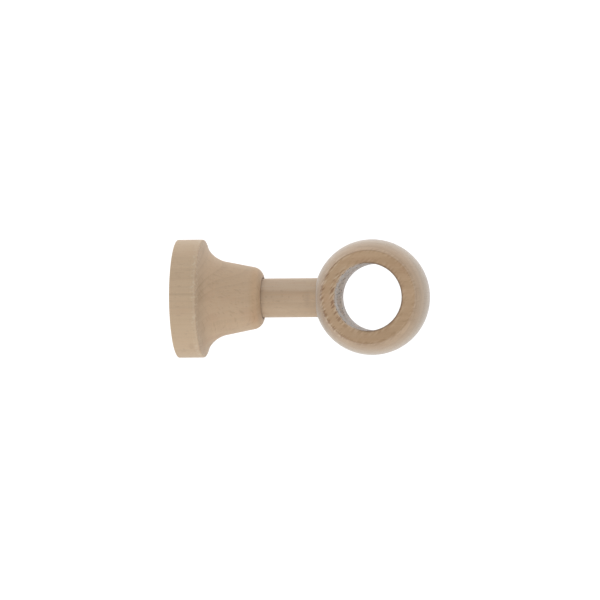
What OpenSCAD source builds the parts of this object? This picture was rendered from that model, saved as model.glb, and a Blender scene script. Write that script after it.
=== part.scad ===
// A turned wooden bracket that carries one end of a curtain pole.
// The bracket stands out of the wall along +X, the pole passes through it along Y, and +Z is up.
// The origin is the middle of the face that rests on the wall.

/* [Pole] */
// Diameter of the curtain pole
pole_d = 28; // [24:1:30]
// How much wider than the pole the ring is bored
pole_play = 2; // [1:0.5:3]
// Distance from the wall to the middle of the pole
pole_x = 88; // [84:1:110]

/* [Ring] */
// Diameter of the ball that the ring is made from
ball_d = 52; // [48:1:56]
// Width of the ring between its two flat sides
ring_w = 31; // [26:1:34]
// Easing of the bore's two edges
bore_edge = 0.5; // [0.2:0.1:1.5]

/* [Stem] */
// Diameter of the dowel between the base and the ring
stem_d = 17.6; // [14:0.2:17.8]
// Bevel on the dowel's hidden end
stem_bevel = 1; // [0.2:0.2:2]
// Gap between the dowel's hidden end and the floor of its socket
stem_end_gap = 0.3; // [0.1:0.1:1]

/* [Base] */
// Diameter of the base at the wall
rim_d = 53.3; // [50:0.1:58]
// Length of the straight band round the rim
rim_band = 11; // [8:0.5:13]
// Radius of the rim's front edge
rim_edge = 0.9; // [0.4:0.1:2]
// Bevel of the rim's back edge
back_edge = 0.4; // [0.2:0.1:1]
// Slope of the shoulder where it leaves the rim, from the bracket's axis
shoulder_angle = 74.6; // [60:0.2:80]
// Slope of the taper in front of the hollow curve
taper_angle = 11.2; // [8:0.2:14]
// Length of the whole base
bell_len = 38.7; // [37:0.1:46]
// Radius of the rounded mouth
mouth_edge = 5; // [3:0.5:5.5]
// Diameter of the socket that the dowel stands in
socket_d = 18.2; // [18:0.2:19]
// Distance from the wall to the floor of the socket
socket_floor = 17; // [15:0.5:19]

/* [Hanging plate] */
// Width of the steel plate
plate_w = 16; // [14:0.5:18]
// Length of the plate
plate_len = 38; // [36:0.5:40]
// Thickness of the plate
plate_t = 1.5; // [1:0.1:2]
// How far the plate lies behind the face of the base
plate_setback = 0.2; // [0.1:0.1:0.5]
// Gap round the plate in its recess
plate_gap = 0.2; // [0.1:0.1:0.4]
// Diameter of the hole that the wall screw's head goes through
entry_d = 9; // [8:0.5:10]
// Width of the slot that the wall screw's shank slides up
slot_w = 4.6; // [4:0.2:5.6]
// How far the bracket drops onto the wall screw
drop = 8; // [7.5:0.5:9]
// Width of the pocket behind the plate
pocket_w = 12; // [11:0.5:13]
// Depth of the pocket behind the plate
pocket_depth = 5.5; // [4.5:0.5:6]

/* [Screws] */
// Thread diameter of the screw that draws the stem into the base
stem_screw_d = 4; // [3:0.5:4.5]
// Length of that screw
stem_screw_len = 40; // [30:1:50]
// Thread diameter of the plate's two screws
plate_screw_d = 3; // [2.5:0.5:3]
// Length of the plate's screws
plate_screw_len = 12; // [8:1:13]
// Distance of the plate's screws from its ends
plate_screw_inset = 4.5; // [4.5:0.1:5]

/* [Hidden] */
$fn = 96;

bore_r = (pole_d + pole_play) / 2;
past = 1;           // how far a cutting shape runs past the face it cuts
head_share = 1.9;   // a countersunk head's diameter over its thread's
tip_share = 1.5;    // a screw tip's length over its thread's diameter

plate_back = plate_setback + plate_t;
pocket_floor = plate_back + pocket_depth;
plate_mid_z = -drop / 2;
plate_screw_z = plate_len / 2 - plate_screw_inset;
stem_x = socket_floor + stem_end_gap;

// Outlines of turned pieces are lists of [distance from the wall, radius].
// The round mouth and the rim's front edge are arcs given by their centres.
mouth_c = [bell_len - mouth_edge, socket_d / 2];
rim_c = [rim_band, rim_d / 2 - rim_edge];
function on_arc(centre, radius, slope) = centre + radius * [sin(slope), cos(slope)];
function arc(centre, radius, from, to, steps) =
    [for (i = [0:steps]) on_arc(centre, radius, from + (to - from) * i / steps)];

// The hollow curve starts where the rim's edge ends and runs out along the taper.
cove_start = on_arc(rim_c, rim_edge, shoulder_angle);
taper_end = on_arc(mouth_c, mouth_edge, taper_angle);
over_taper = cove_start[1] - taper_end[1] - tan(taper_angle) * (taper_end[0] - cove_start[0]);
cove_run = sin(shoulder_angle) - sin(taper_angle);
cove_fall = cos(taper_angle) - cos(shoulder_angle);
cove_r = over_taper / (cove_fall - tan(taper_angle) * cove_run);
cove_c = cove_start + cove_r * [sin(shoulder_angle), cos(shoulder_angle)];

base_outline = concat(
    [[0, 0], [0, rim_d / 2 - back_edge], [back_edge, rim_d / 2]],
    arc(rim_c, rim_edge, 0, shoulder_angle * 3 / 4, 3),
    arc(cove_c, -cove_r, shoulder_angle, taper_angle, 14),
    arc(mouth_c, mouth_edge, taper_angle, 90, 8),
    [[socket_floor, socket_d / 2], [socket_floor, 0]]);

stem_outline = [
    [stem_x, 0], [stem_x, stem_d / 2 - stem_bevel], [stem_x + stem_bevel, stem_d / 2],
    [pole_x, stem_d / 2], [pole_x, 0]];

// Turns an outline of [distance from the wall, radius] about the bracket's axis
module turned(outline)
    rotate([0, 90, 0])
        rotate_extrude() polygon([for (p = outline) [p[1], p[0]]]);

// Draws [y, z] outlines on the wall and carries them out to a depth
module out_of_wall(from, to)
    translate([from, 0, 0]) rotate([90, 0, 90]) linear_extrude(to - from) children();

// An upright slot of one width between the centres of its two round ends
module upright_slot(width, low_z, high_z) {
    translate([-width / 2, low_z]) square([width, high_z - low_z]);
    for (z = [low_z, high_z]) translate([0, z]) circle(d = width);
}

// The space that the pole takes up in the ring, opened out at both edges
module pole_space() {
    half_w = ring_w / 2;
    wide = bore_r + bore_edge + past;
    translate([pole_x, 0, 0])
        rotate([90, 0, 0])
            rotate_extrude()
                polygon([
                    [0, -half_w - past], [wide, -half_w - past], [bore_r, -half_w + bore_edge],
                    [bore_r, half_w - bore_edge], [wide, half_w + past], [0, half_w + past]]);
}

// The solid shape of a countersunk wood screw that points out of the wall, head first
module screw_body(x, z, thread_d, length) {
    head_r = head_share * thread_d / 2;
    tip_x = length - tip_share * thread_d;
    translate([x, 0, z])
        turned([
            [0, 0], [0, head_r], [head_r - thread_d / 2, thread_d / 2],
            [tip_x, thread_d / 2], [length, 0]]);
}

// The same screw with a cross cut in its head
module wood_screw(x, z, thread_d, length)
    difference() {
        screw_body(x, z, thread_d, length);
        for (turn = [0, 90])
            translate([x, 0, z])
                rotate([turn, 0, 0])
                    cube([thread_d, 1.1 * thread_d, 0.28 * thread_d], center = true);
    }

module stem_screw_body()
    screw_body(pocket_floor, 0, stem_screw_d, stem_screw_len);

module plate_screw_body(side)
    screw_body(plate_setback, plate_mid_z + side * plate_screw_z, plate_screw_d, plate_screw_len);

// Base: turned from one block, with a socket in front and two steps cut into its back,
// a shallow one for the plate and a deeper one for the wall screw's head
module wall_base()
    color("burlywood")
        difference() {
            turned(base_outline);
            out_of_wall(-past, plate_back)
                upright_slot(plate_w + 2 * plate_gap,
                             plate_mid_z - plate_len / 2 + plate_w / 2,
                             plate_mid_z + plate_len / 2 - plate_w / 2);
            out_of_wall(0, pocket_floor) upright_slot(pocket_w, -drop, 0);
            stem_screw_body();
            for (side = [-1, 1]) plate_screw_body(side);
        }

// Stem: a dowel from the socket in the base through the ball, cut off flush with the bore
module stem()
    color("tan")
        difference() {
            turned(stem_outline);
            pole_space();
            stem_screw_body();
        }

// Ring: a turned ball with two flats sawn on it, bored for the pole and drilled for the stem
module ring() {
    half_w = ring_w / 2;
    color("burlywood")
        difference() {
            translate([pole_x, 0, 0])
                rotate([90, 0, 0])
                    rotate_extrude()
                        intersection() {
                            circle(d = ball_d);
                            polygon([
                                [bore_r, -half_w + bore_edge], [bore_r, half_w - bore_edge],
                                [bore_r + bore_edge, half_w], [ball_d, half_w],
                                [ball_d, -half_w], [bore_r + bore_edge, -half_w]]);
                        }
            translate([socket_floor, 0, 0])
                rotate([0, 90, 0]) cylinder(d = stem_d, h = pole_x - socket_floor);
        }
}

// Stem screw: goes through the base's middle from behind into the end of the stem
module stem_screw()
    color("lightgoldenrodyellow")
        wood_screw(pocket_floor, 0, stem_screw_d, stem_screw_len);

// Hanging plate: steel, with a keyhole that drops over a screw in the wall
module hanging_plate()
    color("silver")
        difference() {
            out_of_wall(plate_setback, plate_back)
                difference() {
                    upright_slot(plate_w,
                                 plate_mid_z - plate_len / 2 + plate_w / 2,
                                 plate_mid_z + plate_len / 2 - plate_w / 2);
                    translate([0, -drop]) circle(d = entry_d);
                    upright_slot(slot_w, -drop, 0);
                }
            for (side = [-1, 1]) plate_screw_body(side);
        }

// Plate screws: one near each end of the plate, flush with its face
module plate_screw(side)
    color("silver")
        wood_screw(plate_setback, plate_mid_z + side * plate_screw_z, plate_screw_d, plate_screw_len);

wall_base();
stem();
ring();
stem_screw();
hanging_plate();
plate_screw(1);  // plate_screw_upper
plate_screw(-1);  // plate_screw_lower
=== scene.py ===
import bpy
import numpy as np
from mathutils import Matrix, Vector


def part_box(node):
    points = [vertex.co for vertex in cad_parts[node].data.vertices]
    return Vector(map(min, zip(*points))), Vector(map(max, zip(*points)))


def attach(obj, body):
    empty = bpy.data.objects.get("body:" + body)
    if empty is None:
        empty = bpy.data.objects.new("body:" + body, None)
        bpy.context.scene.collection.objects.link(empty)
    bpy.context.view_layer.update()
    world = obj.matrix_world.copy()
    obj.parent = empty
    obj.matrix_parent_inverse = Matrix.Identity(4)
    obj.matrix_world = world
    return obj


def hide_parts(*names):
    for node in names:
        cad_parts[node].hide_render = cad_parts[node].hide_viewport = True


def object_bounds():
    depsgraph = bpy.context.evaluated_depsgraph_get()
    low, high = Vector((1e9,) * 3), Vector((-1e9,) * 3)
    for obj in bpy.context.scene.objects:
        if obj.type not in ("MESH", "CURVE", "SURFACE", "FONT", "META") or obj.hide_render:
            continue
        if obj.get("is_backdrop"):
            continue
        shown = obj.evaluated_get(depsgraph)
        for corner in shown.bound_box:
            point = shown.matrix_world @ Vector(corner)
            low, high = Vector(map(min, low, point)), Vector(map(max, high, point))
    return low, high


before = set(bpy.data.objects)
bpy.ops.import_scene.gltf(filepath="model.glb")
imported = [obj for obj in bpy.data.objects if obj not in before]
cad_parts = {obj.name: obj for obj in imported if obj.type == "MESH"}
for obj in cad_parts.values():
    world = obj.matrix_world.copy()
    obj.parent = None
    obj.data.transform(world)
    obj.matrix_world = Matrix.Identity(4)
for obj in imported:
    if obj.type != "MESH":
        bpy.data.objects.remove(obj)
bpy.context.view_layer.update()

# ---------------------------------------------------------------------------------------------
# Wall base: one block of beech, turned on a lathe with the grain along the bracket's axis, then
# drilled in front for the stem and milled behind in two steps, a shallow one for the hanging
# plate and a deeper one for the head of the wall screw.
# ---------------------------------------------------------------------------------------------
base_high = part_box("wall_base")[1]
plate_low, plate_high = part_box("hanging_plate")
screw_low, screw_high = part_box("stem_screw")
plate_screw_boxes = [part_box(node) for node in ("plate_screw_upper", "plate_screw_lower")]

rim_radius = base_high.z
rim_band = 0.011
rim_edge = 0.0009
back_edge = 0.0004
shoulder_slope = np.radians(74.6)
taper_slope = np.radians(11.2)
bell_length = base_high.x
mouth_edge = 0.005
socket_radius = 0.0091
socket_floor = 0.017
lip_edge = 0.00025

plate_half_width = plate_high.y
plate_mid_z = (plate_low.z + plate_high.z) / 2
plate_end = (plate_high.z - plate_low.z) / 2 - plate_half_width
recess_gap = 0.0002
pocket_half_width = 0.006
pocket_end = -plate_mid_z
pocket_floor = screw_low.x
head_share = 1.9
screw_head_radius = screw_high.z
screw_thread_radius = screw_head_radius / head_share
screw_play = 0.00002
shank_hole_radius = 0.00212


def slot_reach(angle, radius, low, high):
    """How far rays run from a point inside an upright slot to its outline. A ray meets a straight side
    at radius / |cos|, unless that is beyond the centre of a round end, and then it meets that end.
    With low equal to high the slot is a circle whose centre lies that far up from the point."""
    across, up = np.cos(angle), np.sin(angle)
    side = radius / np.maximum(np.abs(across), 1e-9)
    end = np.where(up > 0, high, low)
    round_end = end * up + np.sqrt(np.maximum(radius**2 - (end * across) ** 2, 0))
    return np.where((side * up < high) & (side * up > low), side, round_end)


def corner(start, turn, end, radius, steps=5):
    """A path's corner, rounded: a curve from the line towards start to the line towards end, each met
    one radius away from the turn, with the turn as the middle control point of a quadratic curve."""
    start, turn, end = (np.array(p, float) for p in (start, turn, end))
    a = turn + radius * (start - turn) / np.linalg.norm(start - turn)
    b = turn + radius * (end - turn) / np.linalg.norm(end - turn)
    t = np.linspace(0, 1, steps)[:, None]
    return (1 - t) ** 2 * a + 2 * t * (1 - t) * turn + t**2 * b


def bell_outline():
    """[distance from the wall, radius] from the mouth back to the wall: the mouth's arc, the taper that
    leaves it, the hollow arc that the taper runs into, the rim's front edge and its straight band. The
    hollow arc starts at the rim's edge, and its radius is the one at which it just touches the taper:
    rise of the start above the taper / (fall of the arc - tan(taper slope) x run of the arc)."""
    mouth = np.array([bell_length - mouth_edge, socket_radius])
    rim = np.array([rim_band, rim_radius - rim_edge])
    cove_start = rim + rim_edge * np.array([np.sin(shoulder_slope), np.cos(shoulder_slope)])
    taper_start = mouth + mouth_edge * np.array([np.sin(taper_slope), np.cos(taper_slope)])
    rise = cove_start[1] - taper_start[1] - np.tan(taper_slope) * (taper_start[0] - cove_start[0])
    run = np.sin(shoulder_slope) - np.sin(taper_slope)
    fall = np.cos(taper_slope) - np.cos(shoulder_slope)
    cove_radius = rise / (fall - np.tan(taper_slope) * run)
    cove = cove_start + cove_radius * np.array([np.sin(shoulder_slope), np.cos(shoulder_slope)])

    def arc(centre, radius, first, last, steps):
        """Points at centre + radius x (sin(slope), cos(slope)), from the first slope to the last."""
        slope = np.linspace(first, last, steps)[:, None]
        return centre + radius * np.hstack([np.sin(slope), np.cos(slope)])

    mouth_arc = arc(mouth, mouth_edge, np.radians(86), taper_slope, 22)
    cove_arc = arc(cove, -cove_radius, taper_slope, shoulder_slope, 44)
    taper = np.linspace(mouth_arc[-1], cove_arc[0], 26)[1:-1]
    edge_arc = arc(rim, rim_edge, shoulder_slope, 0, 9)[1:]
    band = np.linspace(edge_arc[-1], [back_edge * 1.6, rim_radius], 20)[1:]
    return np.vstack([mouth_arc, taper, cove_arc, edge_arc, band])


sharp_angle = np.radians(35)


def closed_grid(name, stations, loop):
    """A mesh of quads over stations, an array of [station, column, xyz]. Columns always join up into
    rings. With loop, the last station joins the first, and otherwise each end is closed by a fan. The
    sum of a . ((b - d) x c) over all quads is six times the volume inside, and if it comes out negative
    the columns are taken the other way round, so that faces point outwards."""
    rows, columns = stations.shape[:2]
    first = np.arange(columns)
    after = np.roll(first, -1)
    starts = np.arange(rows if loop else rows - 1)
    low = (starts * columns)[:, None]
    high = ((starts + 1) % rows * columns)[:, None]
    quads = np.stack([low + first, high + first, high + after, low + after], -1).reshape(-1, 4)
    points = stations.reshape(-1, 3)
    a, b, c, d = (points - points.mean(0))[quads].transpose(1, 0, 2)
    if np.sum(a * np.cross(b - d, c)) < 0:
        return closed_grid(name, stations[:, ::-1], loop)
    faces = quads.tolist()
    if not loop:
        points = np.vstack([points, stations[0].mean(0), stations[-1].mean(0)])
        start_pole, end_pole = len(points) - 2, len(points) - 1
        last = (rows - 1) * columns
        faces += np.stack([first, after, np.full(columns, start_pole)], -1).tolist()
        faces += np.stack([last + after, last + first, np.full(columns, end_pole)], -1).tolist()
    mesh = bpy.data.meshes.new(name)
    mesh.from_pydata(points.tolist(), [], faces)
    mesh.shade_smooth()
    mesh.set_sharp_from_angle(angle=sharp_angle)
    piece = bpy.data.objects.new(name, mesh)
    bpy.context.collection.objects.link(piece)
    return piece


def drill(piece, cutter):
    """Cuts a closed shape out of a piece, makes the result its mesh, and marks the cut edges sharp."""
    cut = piece.modifiers.new("cut", "BOOLEAN")
    cut.object = cutter
    cut.solver = "EXACT"
    shown = piece.evaluated_get(bpy.context.evaluated_depsgraph_get())
    mesh = bpy.data.meshes.new_from_object(shown)
    piece.modifiers.clear()
    piece.data = mesh
    bpy.data.objects.remove(cutter)
    mesh.shade_smooth()
    mesh.set_sharp_from_angle(angle=sharp_angle)


def turned(outline, angle, z=0.0):
    """Stations of a turned shape: each [x, radius] of the outline swept to the given angles about an
    axis along X at height z."""
    x, radius = np.asarray(outline, float).T[:, :, None]
    return np.stack([x + 0 * angle, radius * np.cos(angle), z + radius * np.sin(angle)], -1)


def base_stations():
    """The base as one closed loop of stations: socket, mouth, bell, band, back face, recess, pocket and
    the screw hole that leads back to the socket. On the back each column runs along a ray from the
    middle of the plate, and on turned faces along the meridian that the same column meets at the rim."""
    ray = np.linspace(0, 2 * np.pi, 288, endpoint=False)
    rim_reach = slot_reach(ray, rim_radius, pocket_end, pocket_end)
    meridian = np.arctan2(plate_mid_z + rim_reach * np.sin(ray), rim_reach * np.cos(ray))

    def level(x, reach):
        """A ring of points at one depth, each as far along its ray as reach says."""
        return np.stack([x + 0 * ray, reach * np.cos(ray), plate_mid_z + reach * np.sin(ray)], -1)

    def lead(a, b, shares):
        """Rings between a and b, at a + (b - a) x share."""
        return np.array([a + (b - a) * s for s in shares])

    def back_circle(x, radius):
        """A circle about the bracket's axis."""
        return level(x, slot_reach(ray, radius, pocket_end, pocket_end))

    def recess(x, gap=recess_gap):
        """The plate's outline, grown by a gap."""
        return level(x, slot_reach(ray, plate_half_width + gap, -plate_end, plate_end))

    def pocket(x, gap=0.0):
        """The pocket's outline, grown by a gap."""
        return level(x, slot_reach(ray, pocket_half_width + gap, -pocket_end, pocket_end))

    ease = 0.0002
    recess_floor = plate_high.x
    front = turned(np.vstack([
        [[pocket_floor + screw_head_radius - screw_thread_radius, screw_thread_radius + screw_play]],
        np.linspace([pocket_floor + 0.003, shank_hole_radius],
                    [socket_floor - ease, shank_hole_radius], 8),
        corner([0, shank_hole_radius], [socket_floor, shank_hole_radius], [socket_floor, 0.02], ease),
        np.linspace([socket_floor, 0.003], [socket_floor, socket_radius - 0.0006], 8),
        corner([socket_floor, 0], [socket_floor, socket_radius], [0.1, socket_radius], 0.0004),
        np.linspace([socket_floor + 0.0008, socket_radius], [bell_length - 0.0008, socket_radius], 24),
        corner([0, socket_radius], [bell_length, socket_radius], [bell_length, 0.02], lip_edge),
        bell_outline(),
        corner([0.1, rim_radius], [0, rim_radius], [0, 0], back_edge, 9),
    ]), meridian)
    inner_face = recess(0, recess_gap + ease)
    back = lead(back_circle(0, rim_radius - 2 * back_edge), inner_face, np.linspace(0, 1, 14))
    recess_wall = lead(recess(ease), recess(recess_floor - ease), (0, 0.5, 1))
    recess_face = lead(recess(recess_floor, recess_gap - ease), pocket(recess_floor, ease),
                       np.linspace(0, 1, 8))
    pocket_wall = lead(pocket(recess_floor + ease), pocket(pocket_floor - 0.0005),
                       np.linspace(0, 1, 8))
    head_edge = turned([[pocket_floor, screw_head_radius + 0.0001]], meridian)[0]
    pocket_face = lead(pocket(pocket_floor, -0.0005), head_edge, np.linspace(0, 1, 9))
    sink = turned([[pocket_floor + 0.0001, screw_head_radius + screw_play]], meridian)
    return np.concatenate([front, back, recess_wall, recess_face, pocket_wall, pocket_face, sink])


def round_cutter(name, outline, z=0.0, columns=64):
    """A turned closed shape for drilling a hole along X."""
    angle = np.linspace(0, 2 * np.pi, columns, endpoint=False)
    return closed_grid(name, turned(outline, angle, z), loop=False)


wall_base = closed_grid("wall_base_beech", base_stations(), loop=True)
for low, high in plate_screw_boxes:
    middle = (low.z + high.z) / 2
    thread = (high.z - middle) / head_share + screw_play
    pilot = [[0.001, thread], [high.x - 3 * thread, thread], [high.x, 0.0002]]
    drill(wall_base, round_cutter("pilot_hole", pilot, middle))

beech_pale = (0.68, 0.475, 0.300, 1)
beech_warm = (0.55, 0.365, 0.215, 1)
beech_late = (0.36, 0.225, 0.130, 1)
beech_ray = (0.33, 0.190, 0.105, 1)
beech_end = (0.80, 0.82, 0.84, 1)
beech_flush = (0.61, 0.375, 0.225, 1)
dust_and_sheen_grey = (0.75, 0.685, 0.585, 1)


def add(tree, kind, *values, out=0, options=(), **named):
    """Adds a node to a tree and returns one of its outputs. Values fill its inputs in order, and named
    ones by name, each with a number, a colour or another node's output."""
    made = tree.nodes.new(kind)
    for name, value in dict(options).items():
        setattr(made, name, value)
    inputs = list(zip(made.inputs, values))
    inputs += [(made.inputs[name.replace("_", " ")], value) for name, value in named.items()]
    for socket, value in inputs:
        if isinstance(value, bpy.types.NodeSocket):
            tree.links.new(value, socket)
        elif value is not None:
            socket.default_value = value
    return made.outputs[out]


def calc(tree, operation, *values):
    """One Math node's result."""
    return add(tree, "ShaderNodeMath", *values, options={"operation": operation})


def blend_in(tree, share, under, over, mode="MIX"):
    """The colour under + share x (over - under), or with MULTIPLY under x (1 + share x (over - 1))."""
    options = {"data_type": "RGBA", "blend_type": mode}
    return add(tree, "ShaderNodeMix", share, None, None, None, None, None, under, over,
               out=2, options=options)


def ramp(tree, value, start, end, low=0.0, high=1.0):
    """Goes from low to high in a smooth step t^2 x (3 - 2t) as the value goes from start to end."""
    return add(tree, "ShaderNodeMapRange", value, start, end, low, high,
               options={"interpolation_type": "SMOOTHSTEP"})


def stretched(tree, parts, x, y, z):
    """A vector whose three parts are scaled, in cells per metre, for a pattern longer one way."""
    scaled = [calc(tree, "MULTIPLY", part, scale) for part, scale in zip(parts, (x, y, z))]
    return add(tree, "ShaderNodeCombineXYZ", *scaled)


def beech_group():
    """Beech as a solid pattern about the tree's own axis, which runs along X through the origin of Grain.
    Growth rings are shells a ring's width apart, each with its own darkness and a thin dark late edge.
    Rays are ribbons: long across the rings, short along the grain and thin around the tree, so they show
    as flecks on long-grain faces and as fine lines on end grain. Pores and fibres run along the grain."""
    tree = bpy.data.node_groups.new("beech", "ShaderNodeTree")
    for name, kind in (("Grain", "Vector"), ("Facing", "Vector"), ("Ring Width", "Float"),
                       ("Ring Shift", "Float"), ("Ring Strength", "Float"), ("Warmth", "Float"),
                       ("Dust And Sheen", "Float"), ("Tool Place", "Float")):
        tree.interface.new_socket(name, in_out="INPUT", socket_type="NodeSocket" + kind)
    for name, kind in (("Color", "Color"), ("Roughness", "Float"), ("Height", "Float")):
        tree.interface.new_socket(name, in_out="OUTPUT", socket_type="NodeSocket" + kind)
    given = tree.nodes.new("NodeGroupInput").outputs
    split = tree.nodes.new("ShaderNodeSeparateXYZ")
    tree.links.new(given["Grain"], split.inputs[0])
    x, y, z = split.outputs

    sway = add(tree, "ShaderNodeTexNoise", Vector=stretched(tree, (x, y, z), 14, 45, 45),
               Scale=1.0, Detail=2.0, Roughness=0.5, out=1)
    sway = add(tree, "ShaderNodeVectorMath", sway, (0.5, 0.5, 0.5), options={"operation": "SUBTRACT"})
    sway = add(tree, "ShaderNodeVectorMath", sway, (0, 0.0016, 0.0016), options={"operation": "MULTIPLY"})
    flat = add(tree, "ShaderNodeVectorMath", given["Grain"], (0, 1, 1), options={"operation": "MULTIPLY"})
    flat = add(tree, "ShaderNodeVectorMath", flat, sway, options={"operation": "ADD"})
    radius = add(tree, "ShaderNodeVectorMath", flat, out=1, options={"operation": "LENGTH"})
    usual_radius = 0.075
    around = calc(tree, "MULTIPLY", calc(tree, "ARCTAN2", z, y), usual_radius)

    ring = calc(tree, "ADD", calc(tree, "DIVIDE", radius, given["Ring Width"]), given["Ring Shift"])
    within = calc(tree, "FRACT", ring)
    number = calc(tree, "FLOOR", ring)
    chance = add(tree, "ShaderNodeTexWhiteNoise", W=number, options={"noise_dimensions": "1D"})
    tone = add(tree, "ShaderNodeTexWhiteNoise", W=calc(tree, "ADD", number, 0.37),
               options={"noise_dimensions": "1D"})
    late = calc(tree, "MULTIPLY", ramp(tree, within, 0.5, 0.97), ramp(tree, within, 0.97, 1.0, 1, 0))
    late = calc(tree, "MULTIPLY", late, ramp(tree, chance, 0.1, 0.9, 0.35, 1.0))
    late = calc(tree, "MULTIPLY", late, given["Ring Strength"])

    def ribbons(length, gap, reach, keep):
        """Cell centres in a grid stretched to length, gap and reach, less those whose chance is below
        keep."""
        cells = tree.nodes.new("ShaderNodeTexVoronoi")
        vector = stretched(tree, (x, around, radius), 1 / length, 1 / gap, 1 / reach)
        tree.links.new(vector, cells.inputs["Vector"])
        cells.inputs["Scale"].default_value = 1.0
        kept = calc(tree, "GREATER_THAN", cells.outputs["Color"], keep)
        return calc(tree, "MULTIPLY", ramp(tree, cells.outputs["Distance"], 0.12, 0.36, 1, 0), kept)

    broad = ribbons(0.0048, 0.0008, 0.012, 0.60)
    fine = ribbons(0.0022, 0.0005, 0.007, 0.45)
    pores = add(tree, "ShaderNodeTexVoronoi", Vector=stretched(tree, (x, y, z), 700, 5200, 5200),
                Scale=1.0)
    pores = ramp(tree, pores, 0.05, 0.40, 1, 0)
    fibres = add(tree, "ShaderNodeTexNoise", Vector=stretched(tree, (x, y, z), 70, 1900, 1900),
                 Scale=1.0, Detail=4.0, Roughness=0.6)
    streaks = add(tree, "ShaderNodeTexNoise", Vector=stretched(tree, (x, y, z), 18, 260, 260),
                  Scale=1.0, Detail=2.0)
    patches = add(tree, "ShaderNodeTexNoise", Vector=stretched(tree, (x, y, z), 22, 48, 48),
                  Scale=1.0, Detail=2.0)
    along = add(tree, "ShaderNodeVectorMath", given["Facing"], (1, 0, 0), out=1,
                options={"operation": "DOT_PRODUCT"})
    end = ramp(tree, calc(tree, "ABSOLUTE", along), 0.55, 1.0)

    share = calc(tree, "MULTIPLY", ramp(tree, patches, 0.3, 0.7), 0.5)
    share = calc(tree, "ADD", share, calc(tree, "MULTIPLY", tone, 0.3))
    share = calc(tree, "ADD", share, given["Warmth"])
    share = calc(tree, "ADD", share, ramp(tree, streaks, 0.35, 0.65, -0.18, 0.18))
    share = calc(tree, "ADD", share, ramp(tree, fibres, 0.35, 0.65, -0.10, 0.10))
    tool_lines = add(tree, "ShaderNodeTexNoise", W=calc(tree, "MULTIPLY", given["Tool Place"], 1500),
                     Scale=1.0, Detail=3.0, Roughness=0.7, options={"noise_dimensions": "1D"})
    share = calc(tree, "ADD", share, ramp(tree, tool_lines, 0.3, 0.7, -0.12, 0.12))
    color = blend_in(tree, share, beech_pale, beech_warm)
    flushes = add(tree, "ShaderNodeTexNoise", Vector=stretched(tree, (x, y, z), 45, 110, 110),
                  Scale=1.0, Detail=3.0)
    color = blend_in(tree, ramp(tree, flushes, 0.5, 0.72, 0, 0.40), color, beech_flush)
    # The pale grey blended in here is dust on every piece, and on the ring's turned skin also a painted
    # sheen.
    dust_and_sheen_share = calc(tree, "MULTIPLY", given["Dust And Sheen"], ramp(tree, fibres, 0.3, 0.7, 0.6, 1.4))
    color = blend_in(tree, dust_and_sheen_share, color, dust_and_sheen_grey)
    color = blend_in(tree, calc(tree, "MULTIPLY", late, 0.5), color, beech_late)
    color = blend_in(tree, calc(tree, "MULTIPLY", broad, 0.20), color, beech_ray)
    color = blend_in(tree, calc(tree, "MULTIPLY", fine, 0.18), color, beech_ray)
    color = blend_in(tree, calc(tree, "MULTIPLY", pores, 0.14), color, beech_ray)
    color = blend_in(tree, calc(tree, "MULTIPLY", end, 0.75), color, beech_end, "MULTIPLY")

    height = calc(tree, "ADD", calc(tree, "MULTIPLY", fibres, 0.6), calc(tree, "MULTIPLY", pores, -0.5))
    height = calc(tree, "SUBTRACT", height, calc(tree, "MULTIPLY", broad, 0.12))
    height = calc(tree, "ADD", height, calc(tree, "MULTIPLY", tool_lines, 0.5))
    roughness = ramp(tree, fibres, 0.3, 0.7, 0.5, 0.62)
    result = tree.nodes.new("NodeGroupOutput").inputs
    for name, value in (("Color", color), ("Roughness", roughness), ("Height", height)):
        tree.links.new(value, result[name])
    return tree


beech_tree = beech_group()


def beech_material(name, pith, ring_width, ring_shift, ring_strength=1.0, warmth=0.0):
    """One blank of beech: where the tree's middle lay from the blank, as [along, y, z], how wide its
    growth rings are, how many rings they are shifted, how strongly they show and how warm the wood is.
    Each piece links its own dust, which on the ring is partly a painted sheen."""
    material = bpy.data.materials.new(name)
    material.use_nodes = True
    tree = material.node_tree
    shader = tree.nodes["Principled BSDF"]
    places = tree.nodes.new("ShaderNodeTexCoord")
    grain = add(tree, "ShaderNodeMapping", places.outputs["Object"], [-p for p in pith])
    figure = tree.nodes.new("ShaderNodeGroup")
    figure.node_tree = beech_tree
    figure.name = "beech"
    tree.links.new(grain, figure.inputs["Grain"])
    tree.links.new(places.outputs["Normal"], figure.inputs["Facing"])
    for socket, value in zip(figure.inputs[2:], (ring_width, ring_shift, ring_strength, warmth)):
        socket.default_value = value
    bump = add(tree, "ShaderNodeBump", Strength=1.0, Distance=0.00004, Height=figure.outputs["Height"])
    tree.links.new(figure.outputs["Color"], shader.inputs["Base Color"])
    tree.links.new(figure.outputs["Roughness"], shader.inputs["Roughness"])
    tree.links.new(bump, shader.inputs["Normal"])
    shader.inputs["IOR"].default_value = 1.45
    shader.inputs["Sheen Weight"].default_value = 0.12
    shader.inputs["Sheen Roughness"].default_value = 0.4
    return material


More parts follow.
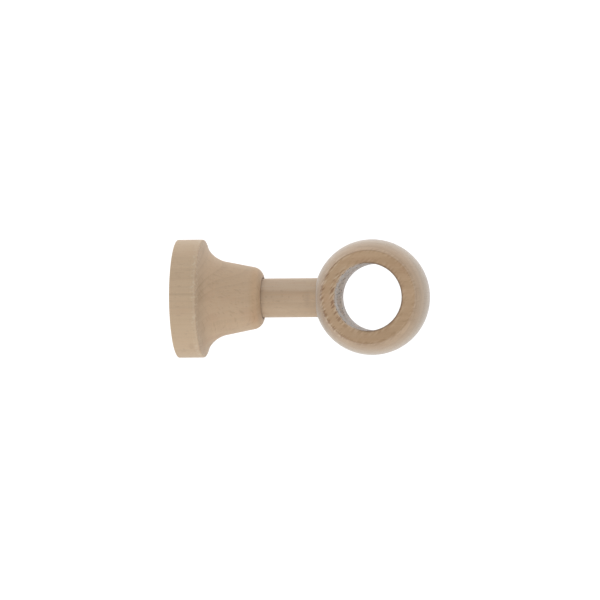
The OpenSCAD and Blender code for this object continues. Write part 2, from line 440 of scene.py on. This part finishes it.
base_beech = beech_material("beech_base", pith=(0, 0.030, -0.060), ring_width=0.0022, ring_shift=-0.16,
                            warmth=-0.40)
tree = base_beech.node_tree
place = add(tree, "ShaderNodeSeparateXYZ", tree.nodes["Texture Coordinate"].outputs["Object"])
x, y, z = place.node.outputs
reach = calc(tree, "SQRT", calc(tree, "ADD", calc(tree, "MULTIPLY", y, y), calc(tree, "MULTIPLY", z, z)))
strength = calc(tree, "MULTIPLY", ramp(tree, x, rim_band, rim_band + 0.007, 0.72, 0.24),
                ramp(tree, z, -0.004, 0.003, 0.25, 1.0))
dust_and_sheen = ramp(tree, x, rim_band - 0.0002, rim_band + 0.001, 0.15, 0.13)
dust_and_sheen = calc(tree, "MULTIPLY", dust_and_sheen, ramp(tree, x, 0.033, 0.036, 1, 0))
for value, name in ((strength, "Ring Strength"), (dust_and_sheen, "Dust And Sheen"), (x, "Tool Place")):
    tree.links.new(value, tree.nodes["beech"].inputs[name])

# Dried glue and a painted shadow darken the socket's wall and lip.
glue_and_painted_shadow = (0.16, 0.08, 0.05, 1)
in_socket = calc(tree, "MULTIPLY", ramp(tree, reach, socket_radius + 0.0002, socket_radius + 0.0008, 1, 0),
                 ramp(tree, x, socket_floor - 0.001, socket_floor))
color = blend_in(tree, calc(tree, "MULTIPLY", in_socket, 0.8), tree.nodes["beech"].outputs["Color"],
                 glue_and_painted_shadow)

# The band is sanded paler than the bell. Its front edge is rubbed paler still, and short torn fibres
# stand up just in front of it.
sanded_beech = (0.80, 0.63, 0.43, 1)
rubbed_beech = (0.84, 0.74, 0.60, 1)
color = blend_in(tree, ramp(tree, x, rim_band - 0.0002, rim_band + 0.001, 0.25, 0), color, sanded_beech)
from_edge = calc(tree, "ABSOLUTE", calc(tree, "SUBTRACT", x, rim_band + 0.0001))
fibre_tips = add(tree, "ShaderNodeTexNoise", Vector=stretched(tree, (x, y, z), 750, 900, 900), Scale=1.0,
                 Detail=1.0)
fibre_tips = calc(tree, "MULTIPLY", ramp(tree, from_edge, 0.0004, 0.0022, 1, 0),
                  ramp(tree, fibre_tips, 0.54, 0.64))
rubbed = calc(tree, "MAXIMUM", calc(tree, "MULTIPLY", fibre_tips, 0.35),
              ramp(tree, from_edge, 0.0001, 0.0006, 0.13, 0))
color = blend_in(tree, rubbed, color, rubbed_beech)
tree.links.new(color, tree.nodes["Principled BSDF"].inputs["Base Color"])
wall_base.data.materials.append(base_beech)
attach(wall_base, "root")
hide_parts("wall_base")

# ---------------------------------------------------------------------------------------------
# Stem: a beech dowel glued into the ball. Its hidden end is bevelled and drilled for the stem
# screw, and its other end is cut off flush with the wall of the pole's bore.
# ---------------------------------------------------------------------------------------------
stem_low, stem_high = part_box("stem")
ring_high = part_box("ring")[1]

ball_radius = ring_high.z
ring_half_width = ring_high.y
pole_x = ring_high.x - ball_radius
bore_radius = 0.015
bore_edge = 0.0005
stem_radius = stem_high.z
stem_bevel = 0.001


def stem_stations():
    """A turned outline from the tip of the pilot hole, round the hidden end and along the dowel, and
    then circles that shrink over the end in the bore, where x = bore axis - sqrt(bore radius^2 - z^2)."""
    angle = np.linspace(0, 2 * np.pi, 208, endpoint=False)
    hole = screw_thread_radius + screw_play
    tip = screw_high.x + 0.0002
    hidden_end = turned(np.vstack([
        [[tip, 0.0001]],
        np.linspace([tip - 3 * hole, hole], [stem_low.x + 0.0002, hole], 10),
        corner([1, hole], [stem_low.x, hole], [stem_low.x, 1], 0.0002),
        np.linspace([stem_low.x, 0.004], [stem_low.x, stem_radius - stem_bevel - 0.0005], 4),
        corner([stem_low.x, 0], [stem_low.x, stem_radius - stem_bevel],
               [stem_low.x + stem_bevel, stem_radius], 0.0003, 3),
        corner([stem_low.x, stem_radius - stem_bevel], [stem_low.x + stem_bevel, stem_radius],
               [1, stem_radius], 0.0003, 3),
    ]), angle)

    def on_bore(radius):
        """A circle round the stem's axis, laid on the bore's wall."""
        z = radius * np.sin(angle)
        return np.stack([pole_x - np.sqrt(bore_radius**2 - z**2), radius * np.cos(angle), z], -1)

    dowel = np.linspace(hidden_end[-1], on_bore(stem_radius), 60)[1:]
    end = np.array([on_bore(r) for r in np.linspace(stem_radius - 0.0001, 0.0002, 18)])
    return np.concatenate([hidden_end, dowel, end])


stem = closed_grid("stem_dowel", stem_stations(), loop=False)

bored_grey = (0.66, 0.58, 0.51, 1)
bored_pit = (0.17, 0.12, 0.09, 1)


def bored_wall(tree, place, in_bore, color):
    """The wood's colour where the drill has left it grey, blotchy and pitted along its path."""
    x, y, z = place.node.outputs
    pits = add(tree, "ShaderNodeTexVoronoi", Vector=stretched(tree, (x, y, z), 900, 170, 900), Scale=1.0)
    pits = calc(tree, "MULTIPLY", in_bore, ramp(tree, pits, 0.22, 0.42, 0.85, 0))
    blotches = add(tree, "ShaderNodeTexNoise", Vector=stretched(tree, (x, y, z), 700, 130, 700),
                   Scale=1.0, Detail=3.0)
    grey = calc(tree, "MULTIPLY", in_bore, ramp(tree, blotches, 0.40, 0.60, 0.1, 0.85))
    color = blend_in(tree, grey, color, bored_grey)
    return blend_in(tree, pits, color, bored_pit)


def distance_from_bore(tree, place):
    """Parts [x, y, z] counted from the middle of the ring, and sqrt(x^2 + z^2)."""
    centred = add(tree, "ShaderNodeMapping", place, (-pole_x, 0, 0))
    parts = add(tree, "ShaderNodeSeparateXYZ", centred)
    x, y, z = parts.node.outputs
    square = calc(tree, "ADD", calc(tree, "MULTIPLY", x, x), calc(tree, "MULTIPLY", z, z))
    return parts, calc(tree, "SQRT", square)


dowel_beech = beech_material("beech_dowel", pith=(0, -0.020, -0.050), ring_width=0.0055, ring_shift=0.0,
                             ring_strength=0.25)
tree = dowel_beech.node_tree
place = tree.nodes["Texture Coordinate"].outputs["Object"]
wave = add(tree, "ShaderNodeTexNoise", Vector=place, Scale=60.0)
z = add(tree, "ShaderNodeSeparateXYZ", place, out=2)
paler = ramp(tree, calc(tree, "ADD", z, ramp(tree, wave, 0.3, 0.7, -0.001, 0.001)), 0.0030, 0.0050)
tree.links.new(calc(tree, "MULTIPLY", paler, -0.45), tree.nodes["beech"].inputs["Warmth"])
tree.links.new(ramp(tree, paler, 0.0, 1.0, 0.20, 0.32), tree.nodes["beech"].inputs["Dust And Sheen"])

# Beside the ball a dark patch is painted on the stem: partly glue soaked into the wood, partly shadow where
# the stem meets the ball.
glue_stain_and_painted_shadow = (0.25, 0.17, 0.11, 1)
glue_and_shadow_patch = add(tree, "ShaderNodeMapping", place, (-0.0597, 0.0088, 0.0006))
glue_and_shadow_patch = add(tree, "ShaderNodeVectorMath", glue_and_shadow_patch, (480, 200, 230), options={"operation": "MULTIPLY"})
glue_and_shadow_patch = add(tree, "ShaderNodeVectorMath", glue_and_shadow_patch, out=1, options={"operation": "LENGTH"})
color = blend_in(tree, ramp(tree, glue_and_shadow_patch, 0.0, 1.2, 0.15, 0), tree.nodes["beech"].outputs["Color"],
                 glue_stain_and_painted_shadow)
parts, reach = distance_from_bore(tree, place)
color = bored_wall(tree, parts, ramp(tree, reach, bore_radius + 0.0001, bore_radius + 0.0003, 1, 0), color)
tree.links.new(color, tree.nodes["Principled BSDF"].inputs["Base Color"])
stem.data.materials.append(dowel_beech)
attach(stem, "root")
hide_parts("stem")

# ---------------------------------------------------------------------------------------------
# Ring: a beech ball turned on a lathe, sawn flat on two sides, bored across for the pole and
# drilled from the side for the stem, which is glued in.
# ---------------------------------------------------------------------------------------------
flat_radius = (ball_radius**2 - ring_half_width**2) ** 0.5
joint_gap = 0.00004


def ring_stations():
    """A closed section of [distance from the bore's axis, place along it], carried round that axis:
    bore wall, eased edge, flat, a hair of wear on the flat's rim, and the ball's arc, in which
    distance = ball radius x cos(t) and place = ball radius x sin(t)."""
    w, wear = ring_half_width, 0.00035
    reach = np.arcsin(w / ball_radius)
    tangent = np.array([np.sin(reach), -np.cos(reach)])
    rim = np.array([flat_radius, w])
    arc_reach = reach - wear / ball_radius
    t = np.linspace(arc_reach, -arc_reach, 64)[1:-1]
    front = np.vstack([
        np.linspace([bore_radius, 0], [bore_radius, w - 2 * bore_edge], 14)[1:],
        corner([bore_radius, 0], [bore_radius, w], [1, w], bore_edge, 7),
        np.linspace([bore_radius + 2 * bore_edge, w], [flat_radius - 0.0005, w], 10),
        corner([0, w], rim, rim + tangent, wear, 5),
    ])
    section = np.vstack([
        [[bore_radius, 0]], front, np.stack([ball_radius * np.cos(t), ball_radius * np.sin(t)], -1),
        (front * [1, -1])[::-1],
    ])
    angle = np.linspace(0, 2 * np.pi, 360, endpoint=False)
    out, along = section.T[:, :, None]
    return np.stack([pole_x + out * np.cos(angle), along + 0 * angle, out * np.sin(angle)], -1)


ring = closed_grid("ring_beech", ring_stations(), loop=True)
stem_hole = [[0.055, stem_radius + joint_gap], [pole_x - 0.008, stem_radius + joint_gap]]
drill(ring, round_cutter("stem_hole", stem_hole, columns=208))
ring_beech = beech_material("beech_ring", pith=(0, 0.080, 0.004), ring_width=0.0030, ring_shift=0.3,
                            ring_strength=0.4, warmth=0.35)
tree = ring_beech.node_tree
figure, shader, places = (tree.nodes[n] for n in ("beech", "Principled BSDF", "Texture Coordinate"))
parts, reach = distance_from_bore(tree, places.outputs["Object"])
x, y, z = parts.node.outputs
facing_out = add(tree, "ShaderNodeSeparateXYZ", places.outputs["Normal"], out=1)
on_flat = ramp(tree, calc(tree, "ABSOLUTE", facing_out), 0.88, 0.99)
in_bore = ramp(tree, reach, bore_radius + 0.0002, bore_radius + 0.0006, 1, 0)
turned_skin = calc(tree, "SUBTRACT", calc(tree, "SUBTRACT", 1.0, on_flat), in_bore)
# Painted sheen: the ball's turned skin is blended towards pale grey, most round its middle, where it turns
# edge-on to a view along the bore. Part of this grey is sanding dust in its raised fibres.
dust_and_sheen = calc(tree, "MULTIPLY", calc(tree, "MAXIMUM", turned_skin, 0.0),
            ramp(tree, calc(tree, "ABSOLUTE", y), 0.003, 0.0155, 0.38, 0.08))
tree.links.new(dust_and_sheen, figure.inputs["Dust And Sheen"])
tree.links.new(y, figure.inputs["Tool Place"])

# The saw and the drill tore slanting splinters from the short grain beside the stem, and the drill
# left the bore grey and pitted.
torn_pale = (0.80, 0.63, 0.45, 1)
torn_dark = (0.30, 0.15, 0.08, 1)
sawn_pale = (0.78, 0.62, 0.44, 1)
sawn_dark = (0.30, 0.17, 0.10, 1)
drill_dark = (0.20, 0.13, 0.09, 1)
painted_shade_brown = (0.24, 0.14, 0.08, 1)
painted_highlight_pale = (0.80, 0.73, 0.64, 1)
slant = np.radians(42)
along = calc(tree, "ADD", calc(tree, "MULTIPLY", x, np.cos(slant)),
             calc(tree, "MULTIPLY", z, np.sin(slant)))
across = calc(tree, "SUBTRACT", calc(tree, "MULTIPLY", z, np.cos(slant)),
              calc(tree, "MULTIPLY", x, np.sin(slant)))
splinters = add(tree, "ShaderNodeTexNoise", Vector=stretched(tree, (along, across, y), 260, 1150, 500),
                Scale=1.0, Detail=1.0, Roughness=0.4)
near_edges = calc(tree, "MAXIMUM",
                  ramp(tree, calc(tree, "ABSOLUTE", calc(tree, "SUBTRACT", reach, flat_radius)),
                       0.0004, 0.0015, 1, 0),
                  ramp(tree, calc(tree, "ABSOLUTE", calc(tree, "SUBTRACT", reach, bore_radius + 0.001)),
                       0.0006, 0.0018, 1, 0))
splintered = calc(tree, "MULTIPLY", near_edges, ramp(tree, x, -0.0150, -0.0080, 1, 0.28))
splintered = calc(tree, "MULTIPLY", splintered, calc(tree, "SUBTRACT", 1.0, in_bore))
raised = calc(tree, "MULTIPLY", splintered, ramp(tree, splinters, 0.54, 0.62))
torn = calc(tree, "MULTIPLY", splintered, ramp(tree, splinters, 0.38, 0.46, 1, 0))
color = bored_wall(tree, parts, in_bore, figure.outputs["Color"])
far_end = ramp(tree, y, ring_half_width - 0.0045, ring_half_width - 0.0010, 0, 0.75)
color = blend_in(tree, calc(tree, "MULTIPLY", in_bore, far_end), color, drill_dark)
# Painted shade: the bore's wall and eased edge darken towards the right, where the rounding faces away from
# the light.
painted_bore_shade = calc(tree, "MULTIPLY", ramp(tree, reach, bore_radius + 0.0004, bore_radius + 0.0010, 1, 0),
                ramp(tree, x, -0.009, 0.002, 0.0, 0.75))
color = blend_in(tree, painted_bore_shade, color, painted_shade_brown)
# Painted highlight: a pale strip on the flat just round the bore's eased edge, on its left, where the
# rounding faces the light.
painted_bore_highlight = calc(tree, "MULTIPLY", ramp(tree, reach, bore_radius + 0.0004, bore_radius + 0.0007, 1, 0),
              ramp(tree, x, -0.007, -0.002, 0.6, 0.0))
color = blend_in(tree, calc(tree, "MULTIPLY", painted_bore_highlight, calc(tree, "SUBTRACT", 1.0, in_bore)), color,
                 painted_highlight_pale)
edge_line = ramp(tree, calc(tree, "ABSOLUTE", calc(tree, "SUBTRACT", reach, flat_radius)),
                 0.0001, 0.0005, 1, 0)
edge_line = calc(tree, "MULTIPLY", edge_line, ramp(tree, x, -0.002, 0.012, 0.45, 0.12))
edge_line = calc(tree, "MULTIPLY", edge_line, ramp(tree, splinters, 0.3, 0.6, 0.3, 1.0))
color = blend_in(tree, edge_line, color, sawn_dark)
ripple = calc(tree, "MULTIPLY", on_flat, ramp(tree, x, -0.024, 0.006, 0.14, 0.03))
ripple = calc(tree, "MULTIPLY", ripple, ramp(tree, splinters, 0.35, 0.65))
color = blend_in(tree, ripple, color, sawn_pale)
color = blend_in(tree, calc(tree, "MULTIPLY", raised, 0.6), color, torn_pale)
color = blend_in(tree, calc(tree, "MULTIPLY", torn, 0.65), color, torn_dark)
tree.links.new(color, shader.inputs["Base Color"])
relief = calc(tree, "ADD", figure.outputs["Height"], calc(tree, "MULTIPLY", raised, 1.5))
relief = calc(tree, "SUBTRACT", relief, torn)
tree.links.new(relief, tree.nodes["Bump"].inputs["Height"])
shader.inputs["Sheen Weight"].default_value = 0.9
ring.data.materials.append(ring_beech)
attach(ring, "root")
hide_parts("ring")

# ---------------------------------------------------------------------------------------------
# Stem screw: a yellow zinc-plated wood screw with a countersunk head and a cross recess. It comes
# through the base from behind and draws the stem into its socket.
# ---------------------------------------------------------------------------------------------
def screw_stations(low, high, pitch):
    """A countersunk screw along X. Its surface is head edge, 45-degree cone, plain shank and thread.
    Along the thread turns = distance / pitch - angle / full circle, and radius = root + (crest - root)
    x (1 - 2.6 x |2 x fract(turns) - 1|), never below the root. The ridge grows over the first 1.5
    pitches, and everything shrinks in a straight line to the point."""
    middle = (low.z + high.z) / 2
    head = high.z - middle
    crest = head / head_share - screw_play
    root = crest * 0.68
    shank = crest * 0.86
    length = high.x - low.x
    tip = length - 3 * crest
    angle = np.linspace(0, 2 * np.pi, 50, endpoint=False)
    rim, play = 0.00012, 0.00003
    top = turned(np.array([
        [low.x, head * 0.5], [low.x, head * 0.72], [low.x, head - 2 * rim],
        [low.x + rim * 0.3, head - rim * 0.4], [low.x + rim, head - play - rim * 0.3],
        [low.x + rim * 1.6, head - play - rim],
        [low.x + head - crest, crest - play],
        [low.x + head - crest + 0.0004, shank],
        [low.x + head - crest + 0.0010, shank],
    ]), angle, middle)
    start = head - crest + 0.0012
    x = np.linspace(start, length, int((length - start) / pitch * 12))[:, None]
    turns = (x - start) / pitch - angle / (2 * np.pi)
    ridge = np.maximum(0, 1 - np.abs(2 * (turns - np.floor(turns)) - 1) * 2.6)
    grow = np.clip((x - start) / (1.5 * pitch), 0, 1)
    shrink = np.clip((length - x) / (length - tip), 0.02, 1)
    radius = (root + (crest - root) * ridge * grow) * shrink
    thread = np.stack([low.x + x + 0 * angle, radius * np.cos(angle),
                       middle + radius * np.sin(angle)], -1)
    return np.concatenate([top, thread])


def cross_cutter(low, high):
    """The cross recess: a plus-shaped outline whose arms are about half as wide as they are long. It
    shrinks in a straight line to half its size, and then a little more, down to a flat bottom."""
    middle = (low.z + high.z) / 2
    reach = (high.z - middle) * 0.58
    arm = reach * 0.26
    corner_points = np.array([[reach, -arm], [reach, arm], [arm, arm]])
    turn = np.pi / 2 * np.arange(4)[:, None]
    y = corner_points[:, 0] * np.cos(turn) - corner_points[:, 1] * np.sin(turn)
    z = corner_points[:, 0] * np.sin(turn) + corner_points[:, 1] * np.cos(turn)
    outline = np.stack([y.ravel(), z.ravel()], -1)
    depth = np.array([-0.0005, 0, reach * 0.9, reach * 0.95])[:, None]
    size = np.array([1.1, 1, 0.5, 0.4])[:, None]
    stations = np.stack([low.x + depth + 0 * outline[:, 0], outline[:, 0] * size,
                         middle + outline[:, 1] * size], -1)
    return closed_grid("cross_recess", stations, loop=False)


def plating_group():
    """Electroplated zinc: broad cloudy patches, fine grain and small dull spots."""
    tree = bpy.data.node_groups.new("zinc_plating", "ShaderNodeTree")
    tree.interface.new_socket("Place", in_out="INPUT", socket_type="NodeSocketVector")
    for name in ("Cloud", "Roughness", "Height"):
        tree.interface.new_socket(name, in_out="OUTPUT", socket_type="NodeSocketFloat")
    place = tree.nodes.new("NodeGroupInput").outputs["Place"]
    cloud = add(tree, "ShaderNodeTexNoise", Vector=place, Scale=260.0, Detail=4.0, Roughness=0.6)
    grain = add(tree, "ShaderNodeTexNoise", Vector=place, Scale=2600.0, Detail=3.0, Roughness=0.6)
    spots = add(tree, "ShaderNodeTexVoronoi", Vector=place, Scale=900.0)
    spots = ramp(tree, spots, 0.08, 0.22, 1, 0)
    roughness = calc(tree, "ADD", ramp(tree, cloud, 0.35, 0.65, 0.28, 0.42),
                     calc(tree, "MULTIPLY", spots, 0.15))
    height = calc(tree, "SUBTRACT", calc(tree, "MULTIPLY", grain, 0.6),
                  calc(tree, "MULTIPLY", spots, 0.5))
    result = tree.nodes.new("NodeGroupOutput").inputs
    for name, value in (("Cloud", ramp(tree, cloud, 0.35, 0.65)), ("Roughness", roughness),
                        ("Height", height)):
        tree.links.new(value, result[name])
    return tree


plating_tree = plating_group()


def plated_material(name, clear, clouded):
    """Zinc-plated steel whose colour wanders between two shades."""
    material = bpy.data.materials.new(name)
    material.use_nodes = True
    tree = material.node_tree
    shader = tree.nodes["Principled BSDF"]
    plating = tree.nodes.new("ShaderNodeGroup")
    plating.node_tree = plating_tree
    tree.links.new(tree.nodes.new("ShaderNodeTexCoord").outputs["Object"], plating.inputs["Place"])
    color = blend_in(tree, plating.outputs["Cloud"], clear, clouded)
    bump = add(tree, "ShaderNodeBump", Strength=0.5, Distance=0.00002, Height=plating.outputs["Height"])
    tree.links.new(color, shader.inputs["Base Color"])
    tree.links.new(plating.outputs["Roughness"], shader.inputs["Roughness"])
    tree.links.new(bump, shader.inputs["Normal"])
    shader.inputs["Metallic"].default_value = 1.0
    return material


def wood_screw(name, node, pitch, material):
    """A threaded screw with a cross recess, in the place of the plain CAD screw."""
    low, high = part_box(node)
    screw = closed_grid(name, screw_stations(low, high, pitch), loop=False)
    drill(screw, cross_cutter(low, high))
    screw.data.materials.append(material)
    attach(screw, "root")
    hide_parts(node)


yellow_zinc = plated_material("yellow_zinc", (0.78, 0.62, 0.30, 1), (0.66, 0.50, 0.24, 1))
wood_screw("stem_screw_yellow", "stem_screw", 0.0018, yellow_zinc)

# ---------------------------------------------------------------------------------------------
# Hanging plate: pressed from zinc-plated steel sheet, with a keyhole whose slot runs up from a
# round entry. Two short countersunk screws hold it in its recess, flush with its face.
# ---------------------------------------------------------------------------------------------
entry_radius = 0.0045
slot_half_width = 0.0023


def plate_stations():
    """A closed loop of stations in rays from the middle of the entry. The keyhole's reach is that of
    its circle or its slot, whichever is further, and the outer reach is the plate's rounded outline.
    Columns lie on the two points where the slot leaves the circle."""
    half = np.arcsin(slot_half_width / entry_radius)
    up = np.pi / 2
    ray = np.concatenate([
        np.linspace(up + half, up + 2 * np.pi - half, 200, endpoint=False),
        np.linspace(up - half, up + half, 72, endpoint=False),
    ])
    ray = (ray + np.pi) % (2 * np.pi) - np.pi
    entry_z = plate_mid_z - pocket_end
    ease = 0.00015

    def keyhole(x, grow):
        """The keyhole's outline at one depth, grown outwards."""
        slot = slot_reach(ray, slot_half_width + grow, 0, 2 * pocket_end)
        reach = np.maximum(entry_radius + grow, slot)
        return np.stack([x + 0 * ray, reach * np.cos(ray), entry_z + reach * np.sin(ray)], -1)

    def outer(x, shrink):
        """The plate's outline at one depth, drawn inwards."""
        low = plate_mid_z - plate_end - entry_z
        reach = slot_reach(ray, plate_half_width - shrink, low, low + 2 * plate_end)
        return np.stack([x + 0 * ray, reach * np.cos(ray), entry_z + reach * np.sin(ray)], -1)

    front, back = plate_low.x, plate_high.x
    eased = [(front + ease, 0.0), (front + 0.3 * ease, 0.3 * ease), (front, ease)]
    face = np.linspace(keyhole(front, ease), outer(front, ease), 10)[1:-1]
    hidden_face = np.linspace(outer(back, ease), keyhole(back, ease), 10)[1:-1]
    near = np.array([keyhole(x, g) for x, g in eased])
    near_out = np.array([outer(x, g) for x, g in eased[::-1]])
    flip = [(front + back - x, g) for x, g in eased]
    far_out = np.array([outer(x, g) for x, g in flip])
    far = np.array([keyhole(x, g) for x, g in flip[::-1]])
    return np.concatenate([near, face, near_out, far_out, hidden_face, far])


plate = closed_grid("hanging_plate_zinc", plate_stations(), loop=True)
for low, high in plate_screw_boxes:
    middle = (low.z + high.z) / 2
    head = high.z - middle + 0.00003
    thread = head / head_share + 0.00005
    seat = [[low.x - 0.0005, head], [low.x, head], [low.x + head - thread, thread], [0.003, thread]]
    drill(plate, round_cutter("screw_seat", seat, middle))
bright_zinc = plated_material("bright_zinc", (0.72, 0.73, 0.74, 1), (0.58, 0.60, 0.62, 1))
plate.data.materials.append(bright_zinc)
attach(plate, "root")
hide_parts("hanging_plate")

wood_screw("plate_screw_upper_zinc", "plate_screw_upper", 0.0012, bright_zinc)
wood_screw("plate_screw_lower_zinc", "plate_screw_lower", 0.0012, bright_zinc)

# ---------------------------------------------------------------------------------------------
# Room: the bracket hangs as it does on a wall, well above a pale floor, in a white tent that is
# brightest behind it.
# ---------------------------------------------------------------------------------------------
# The floor is a flat disc: one face round a circle about the origin.
floor_radius = 8
floor_z = -1.25
angle = np.linspace(0, 2 * np.pi, 96, endpoint=False)
floor_edge = np.stack([floor_radius * np.cos(angle), floor_radius * np.sin(angle), floor_z + 0 * angle], -1)
floor_mesh = bpy.data.meshes.new("floor")
floor_mesh.from_pydata(floor_edge.tolist(), [], [list(range(len(angle)))])
floor = bpy.data.objects.new("floor", floor_mesh)
bpy.context.collection.objects.link(floor)
paper = bpy.data.materials.new("floor_paper")
paper.use_nodes = True
tree = paper.node_tree
speckle = add(tree, "ShaderNodeTexNoise", Vector=tree.nodes.new("ShaderNodeTexCoord").outputs["Object"],
              Scale=40.0, Detail=3.0)
shade = blend_in(tree, ramp(tree, speckle, 0.3, 0.7), (0.86, 0.86, 0.85, 1), (0.90, 0.90, 0.89, 1))
tree.links.new(shade, tree.nodes["Principled BSDF"].inputs["Base Color"])
shader = tree.nodes["Principled BSDF"]
shader.inputs["Roughness"].default_value = 0.9
shader.inputs["Emission Color"].default_value = (1, 1, 1, 1)
shader.inputs["Emission Strength"].default_value = 0.06
floor.data.materials.append(paper)
floor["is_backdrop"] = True

world = bpy.data.worlds.new("tent")
bpy.context.scene.world = world
world.use_nodes = True
tree = world.node_tree
split = tree.nodes.new("ShaderNodeSeparateXYZ")
tree.links.new(tree.nodes.new("ShaderNodeTexCoord").outputs["Generated"], split.inputs[0])

# The tent is dimmer in front of the bracket than behind it, and a little brighter on its wall side,
# but never dimmer than white straight behind.
depth = ramp(tree, split.outputs["Y"], -0.7, 0.75, 0.55, 1.12)
side = ramp(tree, split.outputs["X"], -1.0, 1.0, 1.08, 0.92)
side = calc(tree, "MAXIMUM", side, ramp(tree, split.outputs["Y"], 0.85, 0.95))
tree.links.new(calc(tree, "MULTIPLY", depth, side), tree.nodes["Background"].inputs["Strength"])
tree.nodes["Background"].inputs["Color"].default_value = (1, 1, 1, 1)


def facing(forward, roll):
    """A turn that looks along a direction: the view's up is square to it, and its right-hand side is
    raised by roll radians."""
    forward = Vector(forward).normalized()
    right = forward.cross((0, 0, 1)).normalized()
    up = right.cross(forward)
    right, up = right * np.cos(roll) + up * np.sin(roll), up * np.cos(roll) - right * np.sin(roll)
    return Matrix((right, up, -forward)).transposed().to_quaternion()


def soft_light(name, place, aim, size, power):
    """A round light panel that looks from its place at its aim."""
    light = bpy.data.objects.new(name, bpy.data.lights.new(name, "AREA"))
    light.data.shape = "DISK"
    light.data.size = size
    light.data.energy = power
    light.location = place
    light.rotation_mode = "QUATERNION"
    light.rotation_quaternion = facing(Vector(aim) - Vector(place), 0)
    bpy.context.collection.objects.link(light)


soft_light("left_panel", (-1.3, 0.2, 0.1), (0.0553, 0, 0), 1.0, 2)

# The camera stands 2 m from the bracket, 8 degrees towards its ring.
view_point = Vector((0.0553, 0, -0.00102))
camera_distance = 2.0
turn, rise, roll = np.radians(7.95), np.radians(0.21), np.radians(-0.47)
forward = Vector((-np.sin(turn) * np.cos(rise), np.cos(turn) * np.cos(rise), np.sin(rise)))
camera = bpy.data.objects.new("camera", bpy.data.cameras.new("camera"))
camera.data.sensor_width = 36
camera.data.lens = 266.8
camera.data.clip_end = 100
camera.location = view_point - camera_distance * forward
camera.rotation_mode = "QUATERNION"
camera.rotation_quaternion = facing(forward, roll)
bpy.context.collection.objects.link(camera)
bpy.context.scene.camera = camera
bpy.context.scene.view_settings.view_transform = "Standard"

low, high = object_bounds()
